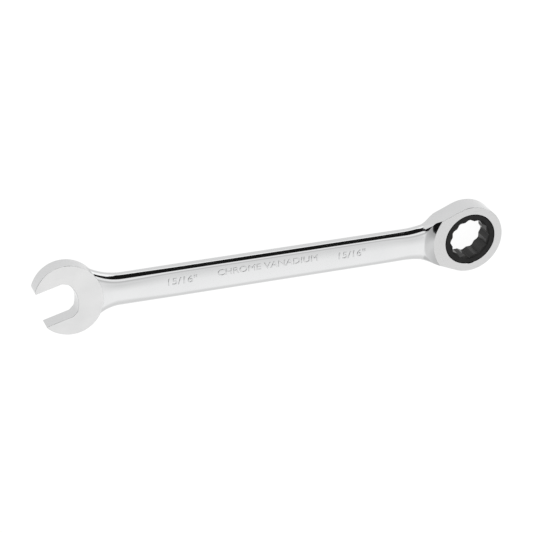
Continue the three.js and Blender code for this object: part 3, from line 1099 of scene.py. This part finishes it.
def floor():
    """Pale sheet that lights itself, as a light table does."""
    bm = bmesh.new()
    bmesh.ops.create_grid(bm, x_segments=1, y_segments=1, size=FLOOR_HALF)
    mesh = bpy.data.meshes.new("floor")
    bm.to_mesh(mesh)
    bm.free()
    piece = bpy.data.objects.new("floor", mesh)
    piece.location = (0, 0, -FLOOR_DROP)
    bpy.context.scene.collection.objects.link(piece)
    look = Look("Pale floor")
    cloud = look.scaled(look.noise(6, detail=3.0), 0.3, 0.7)
    tone = look.mix(cloud, grey(0.12), grey(0.125, 0.004))
    look.set(
        Base_Color=tone, Roughness=look.scaled(look.noise(40), 0.3, 0.7, 0.8, 0.95),
        Emission_Color=grey(1.0), Emission_Strength=FLOOR_GLOW, Specular_IOR_Level=0.0,
        Normal=look.bump(look.noise(500), 0.00002, 0.2),
    )
    mesh.materials.append(look.material)


# Brightness of the surroundings by angle round the shaft's axis, in degrees from the +Y
# horizon over the top to the -Y horizon: strip light, overhead softbox, wide grey wall.
SURROUNDINGS = [
    (-180, 1.0), (-1, 1.0), (0, 1.5), (60, 1.5), (75, 1.26), (91, 1.26), (98, 0.76), (104, 0.80),
    (111, 1.07), (118, 1.30), (127, 1.34), (135, 1.24), (150, 1.08), (180, 1.0),
]
# A dark flag hangs in front of them. How far along the shaft's direction, then the flag's
# lower and upper edge there, in degrees.
FLAG_EDGES = [
    (-0.82, 80, 80), (-0.74, 66, 100), (-0.3, 66, 98), (-0.2, 60, 94), (-0.13, 52, 82),
    (0.06, 48, 80), (0.14, 36, 78), (0.2, 14, 76), (0.42, 12, 78), (0.49, 43, 77),
    (0.72, 46, 70), (0.8, 60, 60),
]
FLAG_TONE = 0.012
FLAG_SOFT = math.radians(3)
END_TONE = 0.85  # towards the two ends of the shaft
END_RUN = (0.8, 0.97)
JAW_SIDE_TONE = 0.74  # share of the light that comes from over the jaw's end
JAW_SIDE_RUN = (0.14, -0.1)


def surroundings():
    """The studio, as light by direction: what the chrome shows."""
    world = bpy.data.worlds.new("Studio")
    bpy.context.scene.world = world
    world.use_nodes = True
    sky = Nodes(world.node_tree)
    background = world.node_tree.nodes["Background"]
    direction = sky.add("ShaderNodeTexCoord").outputs["Generated"]
    split = sky.add("ShaderNodeSeparateXYZ", {0: direction})
    along = split.outputs["X"]
    angle = sky.math("ARCTAN2", split.outputs["Z"], split.outputs["Y"])

    ramp = sky.add("ShaderNodeValToRGB", {
        0: sky.math("DIVIDE", sky.math("ADD", angle, math.pi), FULL_TURN)})
    stops = ramp.color_ramp.elements
    for i, (degrees, tone) in enumerate(SURROUNDINGS):
        at = (degrees + 180) / 360
        stop = stops[i] if i < 2 else stops.new(at)
        stop.position = at
        stop.color = grey(tone)

    bottom = sky.through(along, [(x, math.radians(low)) for x, low, _ in FLAG_EDGES])
    top = sky.through(along, [(x, math.radians(high)) for x, _, high in FLAG_EDGES])
    below_top = sky.scaled(sky.math("SUBTRACT", top, angle), 0.0, FLAG_SOFT, curve="SMOOTHSTEP")
    above_bottom = sky.scaled(
        sky.math("SUBTRACT", angle, bottom), 0.0, FLAG_SOFT, curve="SMOOTHSTEP")
    flag = sky.math("MULTIPLY", below_top, above_bottom)

    ends = sky.scaled(sky.math("ABSOLUTE", along), *END_RUN, curve="SMOOTHSTEP")
    light = sky.mix(ends, ramp.outputs[0], grey(END_TONE))
    strength = sky.scaled(along, *JAW_SIDE_RUN, 1.0, JAW_SIDE_TONE, "SMOOTHSTEP")
    sky.put(background.inputs["Color"], sky.mix(flag, light, grey(FLAG_TONE)))
    sky.put(background.inputs["Strength"], strength)


floor()
surroundings()
bpy.context.scene.view_settings.view_transform = "Standard"

# ---------------------------------------------------------------- camera

VIEW_AZIMUTH = math.radians(125.273)
VIEW_ELEVATION = math.radians(56.241)
VIEW_ROLL = math.radians(140.730)
VIEW_DISTANCE = 1.28684
VIEW_TARGET = (-138.671, -0.543, 0.0)
LENS = 137.899
SENSOR = 36


def camera():
    """Looks at VIEW_TARGET from the given azimuth, elevation and distance, and rolled."""
    back = Vector((
        math.cos(VIEW_ELEVATION) * math.cos(VIEW_AZIMUTH),
        math.cos(VIEW_ELEVATION) * math.sin(VIEW_AZIMUTH),
        math.sin(VIEW_ELEVATION),
    ))
    level = Vector((0, 0, 1)).cross(back).normalized()
    upright = back.cross(level)
    right = level * math.cos(VIEW_ROLL) + upright * math.sin(VIEW_ROLL)
    up = upright * math.cos(VIEW_ROLL) - level * math.sin(VIEW_ROLL)
    data = bpy.data.cameras.new("Camera")
    data.lens = LENS
    data.sensor_width = SENSOR
    item = bpy.data.objects.new("Camera", data)
    turn = Matrix((right, up, back)).transposed().to_4x4()
    item.matrix_world = Matrix.Translation(place(VIEW_TARGET) + back * VIEW_DISTANCE) @ turn
    bpy.context.scene.collection.objects.link(item)
    bpy.context.scene.camera = item


camera()
